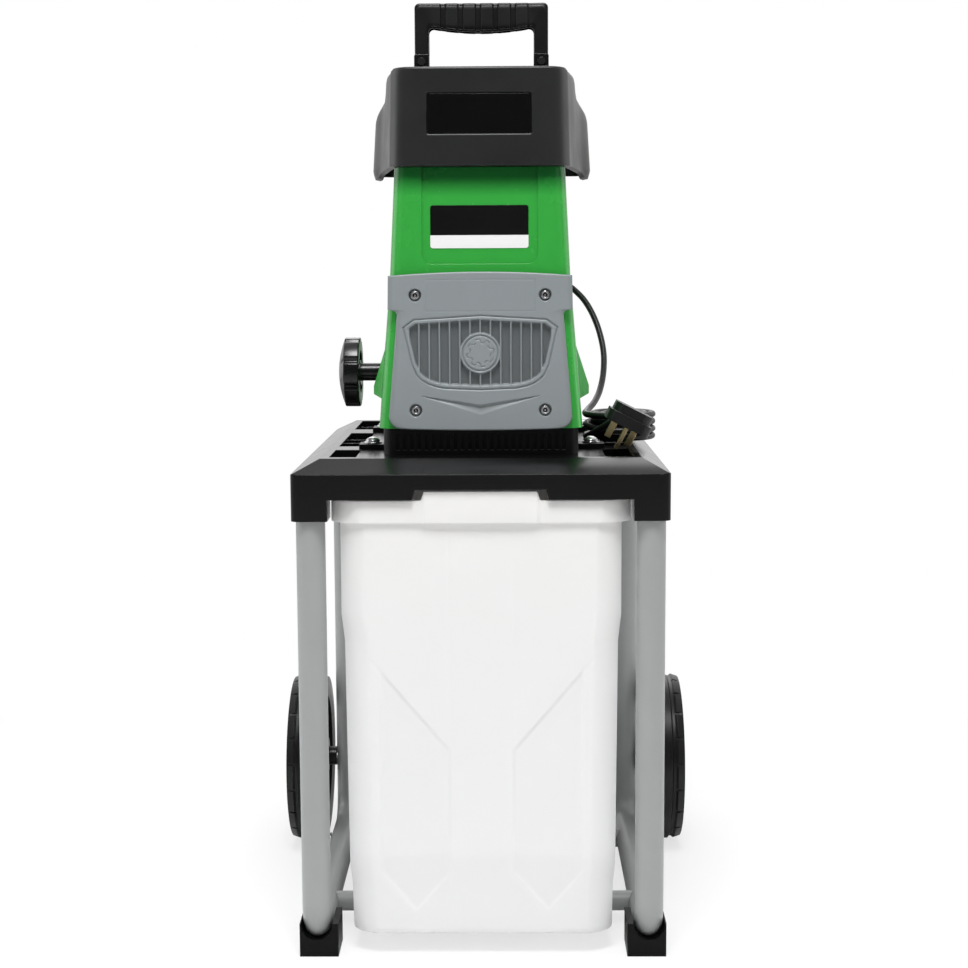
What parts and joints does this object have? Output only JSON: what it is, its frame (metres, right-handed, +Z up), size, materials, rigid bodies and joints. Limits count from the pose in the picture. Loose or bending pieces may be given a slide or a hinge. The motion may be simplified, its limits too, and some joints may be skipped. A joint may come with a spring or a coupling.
{
  "type": "garden shredder",
  "caption": "Electric roller garden shredder: housing with feed hopper, grille and adjusting knob on a wheeled tube stand over a slide-out collection box, with mains cord.",
  "frame": {"origin": "on the ground below the middle of the platform", "axes": "+Z up, +X to the right and +Y to the back, seen from the grille side"},
  "size_m": [0.452, 0.484, 0.945],
  "materials": {
    "black_plastic": "fine moulded grain, half matt",
    "wheel_plastic": "moulded, matt",
    "tube_paint": "silver grey powder coat",
    "steel": "zinc plated or ground",
    "box_plastic": "milky translucent, smooth",
    "green_plastic": "glossy moulding",
    "grey_plastic": "satin moulding",
    "cast_alloy": "as cast",
    "copper_wire": "enamelled",
    "white_plastic": "smooth",
    "on_green": "smooth",
    "off_red": "smooth",
    "cord_rubber": "satin",
    "pin_brass": "nickel bright"
  },
  "bodies": {
    "chassis": {"platform": "black_plastic", "left_side_frame": "tube_paint", "right_side_frame": "tube_paint", "front_cross_bar": "tube_paint", "rear_cross_bar": "tube_paint", "left_foot": "black_plastic", "right_foot": "black_plastic", "leg_screws": "steel", "bar_bolts": "steel", "axle_bolts": "steel", "axle_spacers": "black_plastic", "axle_nuts": "steel", "base_skirt": "black_plastic", "platform_bolts": "steel", "front_housing": "green_plastic", "rear_housing": "green_plastic", "grille_panel": "grey_plastic", "panel_screws": "steel", "hopper": "black_plastic", "feed_chute": "black_plastic", "carry_handle": "black_plastic", "handle_screws": "steel", "adjuster_bush": "steel", "cutting_chamber": "cast_alloy", "drum_bearings": "steel", "gear_case": "cast_alloy", "gear_case_cover": "cast_alloy", "rotor_bearings": "steel", "stator_core": "steel", "stator_windings": "copper_wire", "motor_end_cap": "cast_alloy", "motor_bolts": "steel", "capacitor": "white_plastic", "switch_box": "black_plastic", "cable_gland": "cord_rubber", "cord_lead": "cord_rubber", "cord_coil": "cord_rubber", "cord_tail": "cord_rubber", "mains_plug": "cord_rubber", "plug_pins": "pin_brass"},
    "left_wheel": {"left_wheel": "wheel_plastic", "left_hub_cap": "wheel_plastic"},
    "right_wheel": {"right_wheel": "wheel_plastic", "right_hub_cap": "wheel_plastic"},
    "box": {"collection_box": "box_plastic"},
    "plate": {"counter_plate": "cast_alloy"},
    "knob": {"adjusting_knob": "black_plastic", "adjusting_screw": "steel"},
    "drum": {"cutter_drum": "steel", "drum_shaft": "steel", "output_gear": "steel"},
    "layshaft": {"layshaft": "steel", "lay_gear": "steel"},
    "rotor": {"rotor_core": "steel", "rotor_shaft": "steel", "motor_fan": "black_plastic"},
    "on_button": {"on_button": "on_green"},
    "off_button": {"off_button": "off_red"},
    "reset_button": {"reset_button": "black_plastic"},
    "direction_selector": {"direction_selector": "black_plastic"}
  },
  "joints": [
    {"name": "left_wheel_spin", "type": "hinge", "parent": "chassis", "child": "left_wheel", "pos_m": [-0.2065, 0.146, 0.096], "axis": [1, 0, 0], "continuous": true},
    {"name": "right_wheel_spin", "type": "hinge", "parent": "chassis", "child": "right_wheel", "pos_m": [0.2065, 0.146, 0.096], "axis": [1, 0, 0], "continuous": true},
    {"name": "box_slide", "type": "slide", "parent": "chassis", "child": "box", "axis": [0, -1, 0], "range_m": [0, 0.42]},
    {"name": "plate_slide", "type": "slide", "parent": "chassis", "child": "plate", "axis": [1, 0, 0], "range_m": [-0.0045, 0.00038]},
    {"name": "knob_turn", "type": "hinge", "parent": "plate", "child": "knob", "pos_m": [-0.13, -0.098, 0.564], "axis": [1, 0, 0], "range_deg": [-1080, 90]},
    {"name": "rotor_spin", "type": "hinge", "parent": "chassis", "child": "rotor", "pos_m": [0, 0.05, 0.6], "axis": [0, 1, 0], "continuous": true},
    {"name": "layshaft_spin", "type": "hinge", "parent": "chassis", "child": "layshaft", "pos_m": [0.03093, -0.02, 0.63268], "axis": [0, 1, 0], "continuous": true},
    {"name": "drum_spin", "type": "hinge", "parent": "chassis", "child": "drum", "pos_m": [0.014, -0.098, 0.572], "axis": [0, 1, 0], "continuous": true},
    {"name": "on_press", "type": "slide", "parent": "chassis", "child": "on_button", "axis": [0, -1, 0], "range_m": [0, 0.003], "stiffness_N_per_m": 400, "springref_m": -0.002},
    {"name": "off_press", "type": "slide", "parent": "chassis", "child": "off_button", "axis": [0, -1, 0], "range_m": [0, 0.003], "stiffness_N_per_m": 400, "springref_m": -0.002},
    {"name": "reset_press", "type": "slide", "parent": "chassis", "child": "reset_button", "axis": [0, -1, 0], "range_m": [0, 0.003], "stiffness_N_per_m": 400, "springref_m": -0.002},
    {"name": "selector_turn", "type": "hinge", "parent": "chassis", "child": "direction_selector", "pos_m": [-0.02, 0.15, 0.642], "axis": [0, 1, 0], "range_deg": [-45, 45]}
  ],
  "couplings": [
    {"joint": "layshaft_spin", "follows": "rotor_spin", "ratio": -0.2},
    {"joint": "drum_spin", "follows": "rotor_spin", "ratio": 0.04},
    {"joint": "knob_turn", "follows": "plate_slide", "rad_per_m": 4188.8}
  ]
}
